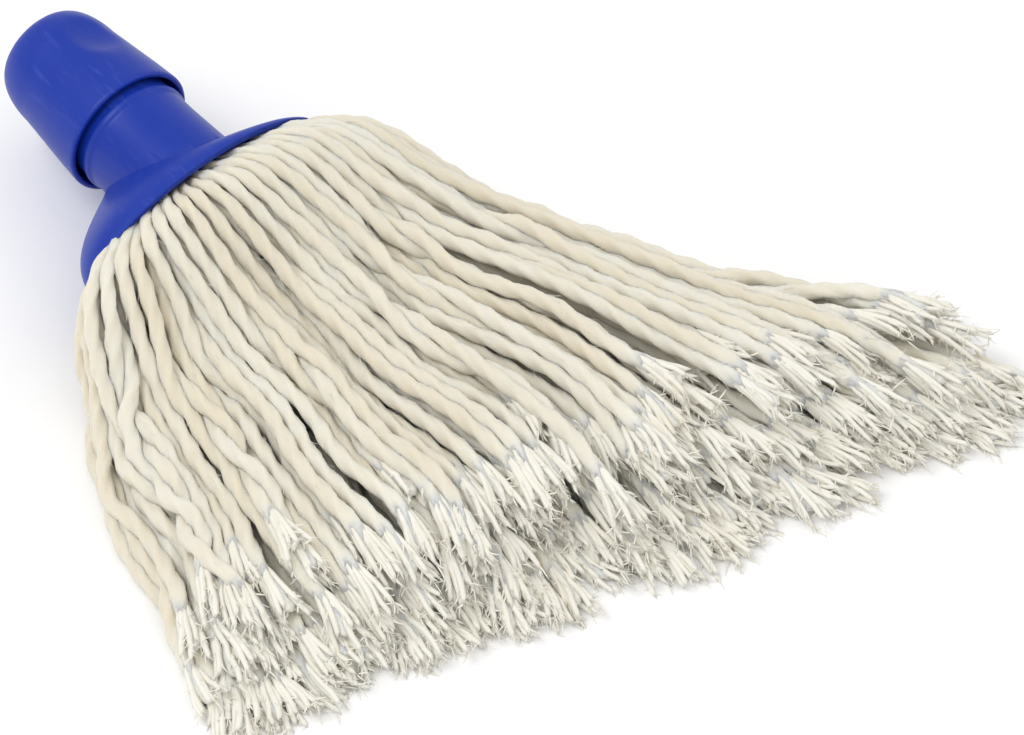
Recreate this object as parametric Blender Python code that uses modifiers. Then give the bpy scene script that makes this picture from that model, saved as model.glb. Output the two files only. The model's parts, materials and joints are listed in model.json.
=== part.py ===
"""Socket mop head: a twist-lock plastic socket with a hood that holds a fan of cotton yarn.

The head lies on a floor at z = 0, yarn towards -Y and handle socket towards +Y. The origin is on the
floor in the middle of the head's box. Pieces of the socket are made in the socket's own axes, in
which +Z points out of the mouth, -Y is up, and z = 0 is the lower edge of the locking collar.
"""
import math

import bmesh
import bpy
from mathutils import Matrix, Vector

MM = 0.001

# Where the socket's axes are
AXIS_X = -41.0 * MM
AXIS_Y = 105.5 * MM
AXIS_HEIGHT = 34.0 * MM

# Handle and clearances
BORE_R = 12.3 * MM
SEAT_Z = -26.0 * MM
GAP = 0.3 * MM
TURNED_STEPS = 48
COLLECTION_NAME = "socket_mop_head"

# Locking collar
COLLAR_LENGTH = 47.0 * MM
COLLAR_RIM_R = 23.4 * MM
COLLAR_SHOULDER_R = 20.6 * MM
COLLAR_SHOULDER_Z = 31.0 * MM
COLLAR_TOP_R = 14.0 * MM
COLLAR_STEP_Z = 13.0 * MM
SKIRT_INNER_R = 21.5 * MM
SLEEVE_R = 14.6 * MM
SLEEVE_TOP_Z = 42.0 * MM
SLEEVE_END_Z = -31.5 * MM
CAM_TOP_Z = 34.0 * MM
CAM_OPEN_R = 17.5 * MM
PAD_TRAVEL = 1.4 * MM
COLLAR_TURN_DEG = 60.0
CAM_POINTS = 45
DIMPLE_Z = 28.0 * MM
DIMPLE_ANGLES_DEG = (-74.0, 106.0)
DIMPLE_SEMI_AXES = (10.0 * MM, 24.9 * MM, 17.3 * MM)
DIMPLE_CENTRE_R = 29.0 * MM

# Snap ring that keeps the collar on the sleeve
RING_LOW_Z = 36.0 * MM
RING_HEIGHT = 2.6 * MM
RING_GROOVE_SLEEVE_R = 13.6 * MM
RING_GROOVE_COLLAR_R = 16.2 * MM

# Locking pads
PAD_INNER_R = BORE_R + GAP
PAD_OUTER_R = CAM_OPEN_R - GAP
PAD_WIDTH = 9.0 * MM
PAD_NOSE_R = 2.5 * MM
WINDOW_LOW_Z = 17.0 * MM
WINDOW_HIGH_Z = 30.0 * MM
WINDOW_WIDTH = PAD_WIDTH + 2 * GAP

# Neck and hood, as (depth below the collar's edge, half width, half thickness) in millimetres
NECK_R = 19.7 * MM
NECK_RING_R = 20.4 * MM
NECK_END_Z = -36.0 * MM
CREASE_R = 19.6 * MM
CREASE_DEPTH = 20.0 * MM
CREASE_SLANT = 13.4 * MM
CREASE_ANGLE_DEG = 70.0
RIM_DEPTH = 42.2 * MM
RIM_YAW = 0.09
RIM_HALF_WIDTH = 50.5 * MM
RIM_HALF_HEIGHT = 25.6 * MM
RIM_DROP = 2.0 * MM
FLARE_POWER = 1.28
FLARE_ROUND = 0.43
HOOD_STEPS = 48
HOOD_RINGS = 11
HOOD_WALL = 2.4 * MM
CAVITY_TOP_R = 17.0 * MM
CAVITY_TOP_STEP = 3.0 * MM

# Yarn bar and its screws
TUBE_R = 17.4 * MM
TUBE_END_Z = -31.0 * MM
THROAT_R = 17.4 * MM
BOSS_X = 19.0 * MM
BOSS_R = 3.4 * MM
BOSS_TOP_Z = -27.5 * MM
BOSS_END_Z = -32.0 * MM
PILOT_R = 1.6 * MM
SCREW_R = 1.3 * MM
SCREW_HEAD_R = 3.2 * MM
SCREW_HEAD_HEIGHT = 1.4 * MM
BAR_TOP_Z = -32.3 * MM
BAR_THICKNESS = 3.2 * MM
BAR_HALF_LENGTH = 27.0 * MM
BAR_HEIGHT = 7.0 * MM
BAR_HOLE_R = 1.9 * MM
FOLD_HALF_WIDTH = 22.0 * MM
FOLD_RISE = 8.2 * MM
FOLD_DEPTH = 4.0 * MM

# Yarn fan: seen from above, the yarn leaves the hood and spreads on the floor
TUFT_COLUMNS = 12
TUFT_LAYERS = ("lower", "middle", "upper")
TUFT_GAP = 1.5 * MM
ROOT_DEPTH = 37.6 * MM
ROOT_HALF_WIDTH = 43.0 * MM
ROOT_WIDTH_SHARE = 0.9
ROOT_HEIGHT_SHARE = 0.64
FAN_LEFT_X = -106.0 * MM
FAN_RIGHT_X = 188.0 * MM
FAN_LEFT_DEPTH = 193.0 * MM
FAN_RIGHT_DEPTH = 258.0 * MM
FAN_LEFT_POWER = 0.49
FAN_RIGHT_POWER = 0.84
LANDING_SHARE = 0.30
RING_SHARES = (0.0, 0.04, 0.12, 0.28, 0.5, 0.75, 1.0)
HALF_HEIGHTS = ((0.0, 19.5), (0.04, 24.5), (0.12, 24.5), (0.28, 22.5), (0.5, 22.0), (0.75, 22.0), (1.0, 10.5))
RIGHT_LIFT = 0.11
LAYER_SHORTER = (0.0, 0.035, 0.075)
SIDE_POWER = 2.3
SIDE_SHARE = 0.9


def clear_scene():
    for item in list(bpy.data.objects):
        bpy.data.objects.remove(item)


def new_collection(name):
    made = bpy.data.collections.new(name)
    bpy.context.scene.collection.children.link(made)
    return made


def material(name, colour, roughness, metallic=0.0):
    made = bpy.data.materials.new(name)
    made.use_nodes = True
    shader = made.node_tree.nodes["Principled BSDF"]
    shader.inputs["Base Color"].default_value = (*colour, 1.0)
    shader.inputs["Roughness"].default_value = roughness
    shader.inputs["Metallic"].default_value = metallic
    return made


clear_scene()
parts = new_collection(COLLECTION_NAME)
cutters = new_collection("cutters")
socket_axes = bpy.data.objects.new("socket_axes", None)
socket_axes.location = (AXIS_X, AXIS_Y, AXIS_HEIGHT)
socket_axes.rotation_euler = (math.radians(-90.0), 0.0, 0.0)
parts.objects.link(socket_axes)
bpy.context.view_layer.update()

blue = (0.035, 0.07, 0.42)
cream = (0.80, 0.74, 0.62)


def place(name, mesh, collection, on_socket):
    made = bpy.data.objects.new(name, mesh)
    collection.objects.link(made)
    if on_socket:
        made.parent = socket_axes
    if collection is cutters:
        made.hide_render = True
        made.display_type = "WIRE"
    return made


def finish_part(piece, colour, roughness, metallic=0.0):
    piece.data.materials.append(material(piece.name, colour, roughness, metallic))
    piece.data.shade_smooth()
    piece.data.set_sharp_from_angle(angle=math.radians(35.0))


def turned(name, profile, collection, closed):
    """A solid of revolution about +Z from (radius, z) points that run down its outer side."""
    mesh = bpy.data.meshes.new(name)
    points = [(r, 0.0, z) for r, z in profile]
    edges = [(i, i + 1) for i in range(len(points) - 1)]
    if closed:
        edges.append((len(points) - 1, 0))
    mesh.from_pydata(points, edges, [])
    piece = place(name, mesh, collection, True)
    screw = piece.modifiers.new("turn", "SCREW")
    screw.axis = "Z"
    screw.steps = TURNED_STEPS
    screw.render_steps = TURNED_STEPS
    screw.use_merge_vertices = True
    screw.merge_threshold = 0.00001
    return piece


def rod(name, radius, top_z, end_z, collection, x=0.0, sides=32):
    """A round rod along the socket's axis between two heights."""
    mesh = bpy.data.meshes.new(name)
    shape = bmesh.new()
    bmesh.ops.create_cone(
        shape, cap_ends=True, segments=sides, radius1=radius, radius2=radius, depth=top_z - end_z,
        matrix=Matrix.Translation((x, 0.0, (top_z + end_z) / 2)),
    )
    shape.to_mesh(mesh)
    shape.free()
    return place(name, mesh, collection, True)


def block(name, low, high, collection):
    """A box between two corners in the socket's axes."""
    mesh = bpy.data.meshes.new(name)
    shape = bmesh.new()
    size = [h - l for l, h in zip(low, high)]
    middle = [(h + l) / 2 for l, h in zip(low, high)]
    bmesh.ops.create_cube(shape, size=1.0, matrix=Matrix.Translation(middle) @ Matrix.Diagonal((*size, 1.0)))
    shape.to_mesh(mesh)
    shape.free()
    return place(name, mesh, collection, True)


def loft(name, rings, collection, on_socket):
    """A closed solid through rings of equally many points, each ring in order round the shape."""
    mesh = bpy.data.meshes.new(name)
    shape = bmesh.new()
    rows = [[shape.verts.new(point) for point in ring] for ring in rings]
    count = len(rows[0])
    for near, far in zip(rows, rows[1:]):
        for i in range(count):
            j = (i + 1) % count
            shape.faces.new((near[i], near[j], far[j], far[i]))
    shape.faces.new(rows[0])
    shape.faces.new(rows[-1])
    bmesh.ops.recalc_face_normals(shape, faces=shape.faces)
    shape.to_mesh(mesh)
    shape.free()
    return place(name, mesh, collection, on_socket)


def combine(piece, other, operation):
    """Adds one Boolean step to a piece."""
    step = piece.modifiers.new(other.name, "BOOLEAN")
    step.operation = operation
    step.solver = "EXACT"
    step.object = other


def arc(centre, radii, start_deg, end_deg, steps):
    """Points (r, z) on a quarter ellipse round a centre, both ends included."""
    turn = [math.radians(start_deg + (end_deg - start_deg) * i / steps) for i in range(steps + 1)]
    return [(centre[0] + radii[0] * math.cos(a), centre[1] + radii[1] * math.sin(a)) for a in turn]


# ---------------------------------------------------------------- locking collar
def cam_radius(angle_deg):
    """The cam track inside the collar: it closes in over one collar turn, for each of two pads."""
    turn = angle_deg % 180.0
    dwell = COLLAR_TURN_DEG + 12.0
    opened = dwell + 24.0
    if turn <= COLLAR_TURN_DEG:
        share = turn / COLLAR_TURN_DEG
    elif turn <= dwell:
        share = 1.0
    elif turn <= opened:
        share = (opened - turn) / (opened - dwell)
    else:
        share = 0.0
    return CAM_OPEN_R - PAD_TRAVEL * share


def cam_cutter():
    rings = []
    for z in (COLLAR_STEP_Z - 1.0 * MM, CAM_TOP_Z):
        ring = []
        for i in range(CAM_POINTS):
            degrees = i * 360.0 / CAM_POINTS
            angle = math.radians(degrees)
            radius = cam_radius(degrees)
            ring.append((radius * math.cos(angle), radius * math.sin(angle), z))
        rings.append(ring)
    return loft("cam_cutter", rings, cutters, True)


def dimple_cutter(angle_deg):
    """A large egg that leaves a shallow oval thumb rest in the collar's side."""
    mesh = bpy.data.meshes.new("dimple_cutter")
    shape = bmesh.new()
    bmesh.ops.create_uvsphere(shape, u_segments=32, v_segments=20, radius=1.0)
    lean = Matrix.Rotation(math.radians(-5.0), 4, "Y")
    size = Matrix.Diagonal((*DIMPLE_SEMI_AXES, 1.0))
    turn = Matrix.Rotation(math.radians(angle_deg), 4, "Z")
    out = Matrix.Translation((DIMPLE_CENTRE_R, 0.0, DIMPLE_Z))
    bmesh.ops.transform(shape, matrix=turn @ out @ lean @ size, verts=shape.verts)
    shape.to_mesh(mesh)
    shape.free()
    return place("dimple_cutter", mesh, cutters, True)


def locking_collar():
    recess_r = SLEEVE_R + GAP
    dome = arc(
        (COLLAR_TOP_R, COLLAR_SHOULDER_Z),
        (COLLAR_SHOULDER_R - COLLAR_TOP_R, COLLAR_LENGTH - COLLAR_SHOULDER_Z),
        90.0, 0.0, 8,
    )
    skirt = [
        (21.7 * MM, 20.0 * MM),
        (22.7 * MM, 10.0 * MM),
        (COLLAR_RIM_R, 1.2 * MM),
        (COLLAR_RIM_R - 0.3 * MM, 0.3 * MM),
        (COLLAR_RIM_R - 0.8 * MM, 0.0),
        (SKIRT_INNER_R, 0.0),
        (SKIRT_INNER_R - 0.6 * MM, COLLAR_STEP_Z),
    ]
    inside = [
        (recess_r, COLLAR_STEP_Z),
        (recess_r, RING_LOW_Z),
        (RING_GROOVE_COLLAR_R, RING_LOW_Z),
        (RING_GROOVE_COLLAR_R, RING_LOW_Z + RING_HEIGHT),
        (recess_r, RING_LOW_Z + RING_HEIGHT),
        (recess_r, SLEEVE_TOP_Z + GAP),
        (BORE_R, SLEEVE_TOP_Z + GAP),
        (BORE_R, COLLAR_LENGTH - 0.5 * MM),
        (BORE_R + 0.5 * MM, COLLAR_LENGTH),
    ]
    piece = turned("locking_collar", dome + skirt + inside, parts, True)
    combine(piece, cam_cutter(), "DIFFERENCE")
    for angle in DIMPLE_ANGLES_DEG:
        combine(piece, dimple_cutter(angle), "DIFFERENCE")
    finish_part(piece, blue, 0.38)


# ---------------------------------------------------------------- socket body
def hood_ring(share, top_radius, top_step, inset, rim_step):
    """A ring of the hood between its slanting crease round the neck, at 0, and its oval rim, at 1."""
    grow = math.sin(share * math.pi / 2) ** FLARE_POWER
    sink = FLARE_ROUND * (1.0 - math.cos(share * math.pi / 2)) + (1.0 - FLARE_ROUND) * share
    ring = []
    for i in range(HOOD_STEPS):
        angle = 2 * math.pi * i / HOOD_STEPS
        c, s = math.cos(angle), math.sin(angle)
        top_depth = CREASE_DEPTH + CREASE_SLANT * math.cos(angle - math.radians(CREASE_ANGLE_DEG)) + top_step
        rim_x = (RIM_HALF_WIDTH - inset) * c
        rim_up = (RIM_HALF_HEIGHT - inset) * s - RIM_DROP
        rim_depth = RIM_DEPTH - RIM_YAW * rim_x + rim_step
        x = top_radius * c + (rim_x - top_radius * c) * grow
        up = top_radius * s + (rim_up - top_radius * s) * grow
        ring.append((x, -up, -(top_depth + (rim_depth - top_depth) * sink)))
    return ring


def hood_solid():
    shares = [i / (HOOD_RINGS - 1) for i in range(HOOD_RINGS)]
    rings = [hood_ring(share, CREASE_R, 0.0, 0.0, 0.0) for share in shares]
    return loft("hood_solid", rings, cutters, True)


def hood_cavity():
    shares = [i / (HOOD_RINGS - 2) for i in range(HOOD_RINGS - 1)]
    rings = [hood_ring(share, CAVITY_TOP_R, CAVITY_TOP_STEP, HOOD_WALL, 0.4 * MM) for share in shares]
    rings.append([(x, y, z - 3.0 * MM) for x, y, z in rings[-1]])
    return loft("hood_cavity", rings, cutters, True)


def socket_body():
    """Neck, shoulder ring and hood in one moulding, bored right through for the handle sleeve."""
    step = COLLAR_STEP_Z - GAP
    profile = [
        (0.0, step),
        (NECK_R - 0.8 * MM, step),
        (NECK_R, step - 0.8 * MM),
        (NECK_R, -1.6 * MM),
        (NECK_RING_R, -2.2 * MM),
        (NECK_RING_R, -4.4 * MM),
        (NECK_R, -5.2 * MM),
        (NECK_R, -12.0 * MM),
        (NECK_R + 0.3 * MM, -22.0 * MM),
        (NECK_R + 0.9 * MM, NECK_END_Z),
        (0.0, NECK_END_Z),
    ]
    piece = turned("socket_body", profile, parts, False)
    combine(piece, hood_solid(), "UNION")
    combine(piece, hood_cavity(), "DIFFERENCE")
    combine(piece, rod("throat", THROAT_R, TUBE_END_Z, NECK_END_Z - MM, cutters, sides=48), "DIFFERENCE")
    combine(piece, rod("inner_tube", TUBE_R, -8.0 * MM, TUBE_END_Z, cutters, sides=48), "UNION")
    for side, x in (("left", -BOSS_X), ("right", BOSS_X)):
        combine(piece, rod("boss_" + side, BOSS_R, BOSS_TOP_Z, BOSS_END_Z, cutters, x, 20), "UNION")
        pilot = rod("pilot_" + side, PILOT_R, BOSS_END_Z + 4.0 * MM, BOSS_END_Z - 1.0 * MM, cutters, x, 12)
        combine(piece, pilot, "DIFFERENCE")
    bore = rod("sleeve_bore", SLEEVE_R + GAP, step + MM, NECK_END_Z - MM, cutters, sides=48)
    combine(piece, bore, "DIFFERENCE")
    finish_part(piece, blue, 0.4)


def handle_sleeve():
    """The tube that takes the handle: a seat at its bottom, two windows for the pads, a ring groove."""
    groove_high = RING_LOW_Z + RING_HEIGHT
    profile = [
        (BORE_R, SEAT_Z),
        (BORE_R, SLEEVE_TOP_Z - 0.6 * MM),
        (BORE_R + 0.6 * MM, SLEEVE_TOP_Z),
        (SLEEVE_R - 0.4 * MM, SLEEVE_TOP_Z),
        (SLEEVE_R, SLEEVE_TOP_Z - 0.4 * MM),
        (SLEEVE_R, groove_high),
        (RING_GROOVE_SLEEVE_R, groove_high),
        (RING_GROOVE_SLEEVE_R, RING_LOW_Z),
        (SLEEVE_R, RING_LOW_Z),
        (SLEEVE_R, SLEEVE_END_Z),
        (0.0, SLEEVE_END_Z),
    ]
    piece = turned("handle_sleeve", [(0.0, SEAT_Z)] + profile, parts, False)
    half = WINDOW_WIDTH / 2
    window = block(
        "pad_windows", (-NECK_R, -half, WINDOW_LOW_Z), (NECK_R, half, WINDOW_HIGH_Z), cutters,
    )
    combine(piece, window, "DIFFERENCE")
    finish_part(piece, (0.05, 0.05, 0.06), 0.5)


def snap_ring():
    """An open ring half in the sleeve's groove and half in the collar's."""
    inner = RING_GROOVE_SLEEVE_R + GAP
    outer = RING_GROOVE_COLLAR_R - GAP
    low = RING_LOW_Z + GAP
    high = RING_LOW_Z + RING_HEIGHT - GAP
    profile = [(inner, high), (outer, high), (outer, low), (inner, low)]
    piece = turned("collar_snap_ring", profile, parts, True)
    gap_cutter = block(
        "ring_gap", (-4.0 * MM, 5.0 * MM, low - MM), (4.0 * MM, 20.0 * MM, high + MM), cutters,
    )
    combine(piece, gap_cutter, "DIFFERENCE")
    finish_part(piece, (0.75, 0.75, 0.76), 0.3, 1.0)


def locking_pad(name, side):
    """A sliding jaw: a hollowed face towards the handle and a round nose towards the cam."""
    low_z = WINDOW_LOW_Z + GAP
    high_z = WINDOW_HIGH_Z - GAP
    nose_x = PAD_OUTER_R - PAD_NOSE_R
    outline = [(11.0 * MM, -PAD_WIDTH / 2), (nose_x, -PAD_WIDTH / 2)]
    outline += arc((nose_x, 0.0), (PAD_NOSE_R, PAD_NOSE_R), -90.0, 90.0, 8)
    outline += [(nose_x, PAD_WIDTH / 2), (11.0 * MM, PAD_WIDTH / 2)]
    rings = [[(side * x, side * y, z) for x, y in outline] for z in (low_z, high_z)]
    piece = loft(name, rings, parts, True)
    face = rod(name + "_face", PAD_INNER_R, high_z + MM, low_z - MM, cutters, sides=48)
    combine(piece, face, "DIFFERENCE")
    finish_part(piece, (0.05, 0.05, 0.06), 0.55)


# ---------------------------------------------------------------- yarn bar, screws and folded yarn
def yarn_bar():
    low_z = BAR_TOP_Z - BAR_THICKNESS
    half = BAR_HEIGHT / 2
    piece = block(
        "yarn_bar", (-BAR_HALF_LENGTH, -half, low_z), (BAR_HALF_LENGTH, half, BAR_TOP_Z), parts,
    )
    for side, x in (("left", -BOSS_X), ("right", BOSS_X)):
        hole = rod("bar_hole_" + side, BAR_HOLE_R, BAR_TOP_Z + MM, low_z - MM, cutters, x, 16)
        combine(piece, hole, "DIFFERENCE")
    soften = piece.modifiers.new("soften", "BEVEL")
    soften.width = 0.8 * MM
    soften.segments = 2
    soften.limit_method = "ANGLE"
    soften.angle_limit = math.radians(60.0)
    finish_part(piece, (0.05, 0.05, 0.06), 0.5)


def bar_screw(name, x):
    under = BAR_TOP_Z - BAR_THICKNESS - GAP
    profile = [
        (0.0, BOSS_END_Z + 3.4 * MM),
        (SCREW_R * 0.5, BOSS_END_Z + 3.4 * MM),
        (SCREW_R, BOSS_END_Z + 2.4 * MM),
        (SCREW_R, under),
        (SCREW_HEAD_R, under),
        (SCREW_HEAD_R * 0.8, under - SCREW_HEAD_HEIGHT),
        (0.0, under - SCREW_HEAD_HEIGHT),
    ]
    piece = turned(name, profile, parts, False)
    piece.modifiers["turn"].steps = 16
    piece.modifiers["turn"].render_steps = 16
    piece.location = (x, 0.0, 0.0)
    finish_part(piece, (0.7, 0.7, 0.71), 0.35, 1.0)


def yarn_fold(name, up):
    """Half of the yarn where it is folded over the bar, packed in the hood."""
    base = BAR_HEIGHT / 2 + GAP
    outline = [(-FOLD_HALF_WIDTH, base)]
    outline += arc((0.0, base), (FOLD_HALF_WIDTH, FOLD_RISE - base), 165.0, 15.0, 10)
    outline += [(FOLD_HALF_WIDTH, base)]
    top = BAR_TOP_Z
    rings = [[(x, -up * y, z) for x, y in outline] for z in (top, top - FOLD_DEPTH)]
    piece = loft(name, rings, parts, True)
    finish_part(piece, cream, 0.95)


# ---------------------------------------------------------------- yarn tufts
def mix(a, b, share):
    return a + (b - a) * share


def ease(share):
    share = min(max(share, 0.0), 1.0)
    return share * share * (3.0 - 2.0 * share)


def half_height(share):
    """Half the fan's height in metres along its length, in the middle of the fan."""
    for low, high in zip(HALF_HEIGHTS, HALF_HEIGHTS[1:]):
        if share <= high[0]:
            return mix(low[1], high[1], (share - low[0]) / (high[0] - low[0])) * MM
    return HALF_HEIGHTS[-1][1] * MM


def fan_point(across, along, layer):
    """A point in the fan: across 0 to 1 from left to right, along 0 to 1 from hood to ends,
    layer 0 to 1 from bottom to top. Before 0, along runs back into the hood."""
    end_depth = mix(FAN_LEFT_DEPTH, FAN_RIGHT_DEPTH, across ** 0.9)
    hidden = along < 0.0
    root_x = (2.0 * across - 1.0) * ROOT_HALF_WIDTH * (ROOT_WIDTH_SHARE if hidden else 1.0)
    mouth_depth = RIM_DEPTH - RIM_YAW * root_x
    end_x = mix(FAN_LEFT_X, FAN_RIGHT_X, across)
    out = max(along, 0.0)
    depth = ROOT_DEPTH if hidden else mix(mouth_depth, end_depth, along)
    x = mix(root_x, end_x, out ** mix(FAN_LEFT_POWER, FAN_RIGHT_POWER, across))
    side = (1.0 - SIDE_SHARE * abs(2.0 * across - 1.0) ** SIDE_POWER) ** (1.0 / SIDE_POWER)
    half = half_height(out) * side * (1.0 + RIGHT_LIFT * (2.0 * across - 1.0))
    if hidden:
        half *= ROOT_HEIGHT_SHARE
    middle = mix(AXIS_HEIGHT, half, ease(out / LANDING_SHARE))
    z = middle + half * (2.0 * layer - 1.0) - TUFT_GAP / 2
    return Vector((AXIS_X + x, AXIS_Y - depth, max(z, 0.0)))


def tuft(name, column, layer):
    """One hank of the fan, eight-sided, with its share of the width and of the height."""
    layers = len(TUFT_LAYERS)
    rings = []
    for share in (-1.0, *RING_SHARES):
        along = share * (1.0 - LAYER_SHORTER[layer]) if share > 0.0 else share
        ring = []
        left = fan_point(0.0, along, 0.5)
        right = fan_point(1.0, along, 0.5)
        low = fan_point((column + 0.5) / TUFT_COLUMNS, along, 0.0)
        high = fan_point((column + 0.5) / TUFT_COLUMNS, along, 1.0)
        across_half = 0.5 / TUFT_COLUMNS - TUFT_GAP / 2 / (right.x - left.x)
        layer_half = 0.5 / layers - TUFT_GAP / 2 / (high.z - low.z)
        for i in range(8):
            angle = math.radians(22.5 + 45.0 * i)
            wide = math.cos(angle) / math.cos(math.radians(22.5))
            tall = math.sin(angle) / math.cos(math.radians(22.5))
            across = (column + 0.5) / TUFT_COLUMNS + across_half * wide
            height = (layer + 0.5) / layers + layer_half * tall
            ring.append(fan_point(across, along, height))
        rings.append(ring)
    piece = loft(name, rings, parts, False)
    finish_part(piece, cream, 0.95)


socket_body()
handle_sleeve()
locking_collar()
snap_ring()
locking_pad("locking_pad_left", -1)
locking_pad("locking_pad_right", 1)
yarn_bar()
bar_screw("yarn_bar_screw_left", -BOSS_X)
bar_screw("yarn_bar_screw_right", BOSS_X)
yarn_fold("yarn_fold_upper", 1)
yarn_fold("yarn_fold_lower", -1)
for layer_index, layer_name in enumerate(TUFT_LAYERS):
    for column_index in range(TUFT_COLUMNS):
        tuft(f"yarn_tuft_{layer_name}_{column_index + 1:02d}", column_index, layer_index)
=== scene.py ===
# %% [markdown]
# # A socket mop head: plastic socket, locking collar and a fan of cotton yarn
# The head lies on a floor with its yarn spread towards -Y and its handle socket towards +Y.
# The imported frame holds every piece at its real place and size. This lesson builds the surfaces
# that are seen: the moulded plastic by turning and boring, and the yarn strand by strand.

# %% Load the frame and keep its box
import json
import math

import bpy
import numpy as np
from mathutils import Matrix, Vector

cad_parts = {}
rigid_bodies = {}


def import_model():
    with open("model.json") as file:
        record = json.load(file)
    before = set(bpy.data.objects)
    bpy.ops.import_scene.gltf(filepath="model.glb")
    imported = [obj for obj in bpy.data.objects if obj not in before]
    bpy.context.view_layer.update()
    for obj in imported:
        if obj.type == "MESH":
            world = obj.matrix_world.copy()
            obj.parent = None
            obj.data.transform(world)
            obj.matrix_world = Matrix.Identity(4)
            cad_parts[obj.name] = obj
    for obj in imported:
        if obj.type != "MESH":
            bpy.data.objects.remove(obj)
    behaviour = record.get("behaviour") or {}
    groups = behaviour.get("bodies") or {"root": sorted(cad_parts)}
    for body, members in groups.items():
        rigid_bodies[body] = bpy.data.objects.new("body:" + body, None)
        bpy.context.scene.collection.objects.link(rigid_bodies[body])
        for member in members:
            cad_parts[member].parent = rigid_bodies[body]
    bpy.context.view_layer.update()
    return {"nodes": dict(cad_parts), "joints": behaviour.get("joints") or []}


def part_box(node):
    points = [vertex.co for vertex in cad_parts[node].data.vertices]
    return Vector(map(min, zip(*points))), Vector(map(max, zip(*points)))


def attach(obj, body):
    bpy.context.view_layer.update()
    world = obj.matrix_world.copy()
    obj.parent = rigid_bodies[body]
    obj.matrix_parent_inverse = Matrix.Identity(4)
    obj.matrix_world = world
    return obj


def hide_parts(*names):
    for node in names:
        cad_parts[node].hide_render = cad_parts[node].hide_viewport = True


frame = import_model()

MM = 0.001
twist = next(joint for joint in frame["joints"] if joint["name"] == "collar_twist")
axis_point = Vector(twist["pos_m"])
print("joint axis of the collar:", tuple(round(c, 4) for c in axis_point))


# %% [markdown]
# ## Working habits
# Operators act on whatever is selected, and the loaded frame is selected, so every step starts by
# clearing the selection. These helpers also place a thing by its distance along the handle's axis:
# zero is the collar's lower edge and positive runs out of the socket's mouth.

# %% Helpers for objects and selections
def clear_selection():
    """Leaves edit mode and selects nothing."""
    if bpy.context.object is not None and bpy.context.object.mode != "OBJECT":
        bpy.ops.object.mode_set(mode="OBJECT")
    bpy.ops.object.select_all(action="DESELECT")


def take(piece):
    """Makes one object the only selected and active one."""
    clear_selection()
    piece.select_set(True)
    bpy.context.view_layer.objects.active = piece
    return piece


def on_axis(along, x=0.0, up=0.0):
    """A point at a distance along the handle's axis, with an offset across and up."""
    return Vector((axis_point.x + x, axis_point.y + along, axis_point.z + up))


def apply_modifiers(piece):
    """Applies what a piece's modifiers do, in their order."""
    take(piece)
    for name in [modifier.name for modifier in piece.modifiers]:
        bpy.ops.object.modifier_apply(modifier=name)


def settle_at_origin(piece):
    """Puts a piece's place and turn into its mesh, as the frame's own nodes have it."""
    take(piece)
    bpy.ops.object.transform_apply(location=True, rotation=True, scale=True)


def triangles(piece):
    return sum(len(face.vertices) - 2 for face in piece.data.polygons)


# %% [markdown]
# ## Camera
# The head is seen from above its yarn, with the fan running towards the viewer and to the right.
# A long lens from a little over a metre keeps the far socket and the near yarn in true proportion.

# %% Camera
VIEW_AZIMUTH = math.radians(-45.3)
VIEW_ELEVATION = math.radians(48.9)
VIEW_ROLL = math.radians(6.0)
VIEW_DISTANCE = 1.3
aim = Vector((axis_point.x + 42 * MM, axis_point.y - 145 * MM, 20 * MM))
back = Vector((
    math.sin(VIEW_AZIMUTH) * math.cos(VIEW_ELEVATION),
    -math.cos(VIEW_AZIMUTH) * math.cos(VIEW_ELEVATION),
    math.sin(VIEW_ELEVATION),
))
camera_data = bpy.data.cameras.new("camera")
camera_data.lens = 143.6
camera_data.sensor_width = 36.0
camera = bpy.data.objects.new("camera", camera_data)
bpy.context.scene.collection.objects.link(camera)
camera.rotation_mode = "QUATERNION"
camera.location = aim + back * VIEW_DISTANCE
level = (-back).to_track_quat("-Z", "Y")
camera.rotation_quaternion = level @ Matrix.Rotation(VIEW_ROLL, 3, "Z").to_quaternion()
bpy.context.scene.camera = camera
print("camera at", tuple(round(c, 3) for c in camera.location))


# %% [markdown]
# ## Stage and light
# A white sweep and big soft lights give the high, even light of a catalogue picture: one large
# key from the upper left, a weaker one from the right and a bright surround that fills the gaps.

# %% Stage
clear_selection()
bpy.ops.mesh.primitive_plane_add(size=8.0, location=(0.0, 0.0, -0.0002))
floor = bpy.context.object
floor.name = "floor"
floor_finish = bpy.data.materials.new("floor_white")
floor_finish.use_nodes = True
floor_shader = floor_finish.node_tree.nodes["Principled BSDF"]
floor_shader.inputs["Base Color"].default_value = (0.93, 0.93, 0.93, 1.0)
floor_shader.inputs["Roughness"].default_value = 0.9
floor_shader.inputs["Specular IOR Level"].default_value = 0.1
floor.data.materials.append(floor_finish)

world = bpy.data.worlds.new("studio")
world.use_nodes = True
world.node_tree.nodes["Background"].inputs["Color"].default_value = (1.0, 1.0, 1.0, 1.0)
world.node_tree.nodes["Background"].inputs["Strength"].default_value = 0.74
bpy.context.scene.world = world
bpy.context.scene.view_settings.view_transform = "Standard"


def soft_light(name, place, size, power):
    """A square area light that faces the head."""
    data = bpy.data.lights.new(name, "AREA")
    data.size = size
    data.energy = power
    lamp = bpy.data.objects.new(name, data)
    bpy.context.scene.collection.objects.link(lamp)
    lamp.location = place
    lamp.rotation_euler = (-Vector(place)).to_track_quat("-Z", "Y").to_euler()
    return lamp


soft_light("key", (-0.9, 0.5, 1.6), 0.9, 14.0)
soft_light("fill", (1.4, -0.6, 1.3), 1.4, 5.0)
soft_light("front", (-0.6, -1.6, 1.1), 1.2, 5.0)


# %% [markdown]
# ## Finishes
# A shader is a sum of small ideas, so it reads best as a formula. The class below wraps one socket
# and gives it the signs of arithmetic. Every other node comes from one method.

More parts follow.
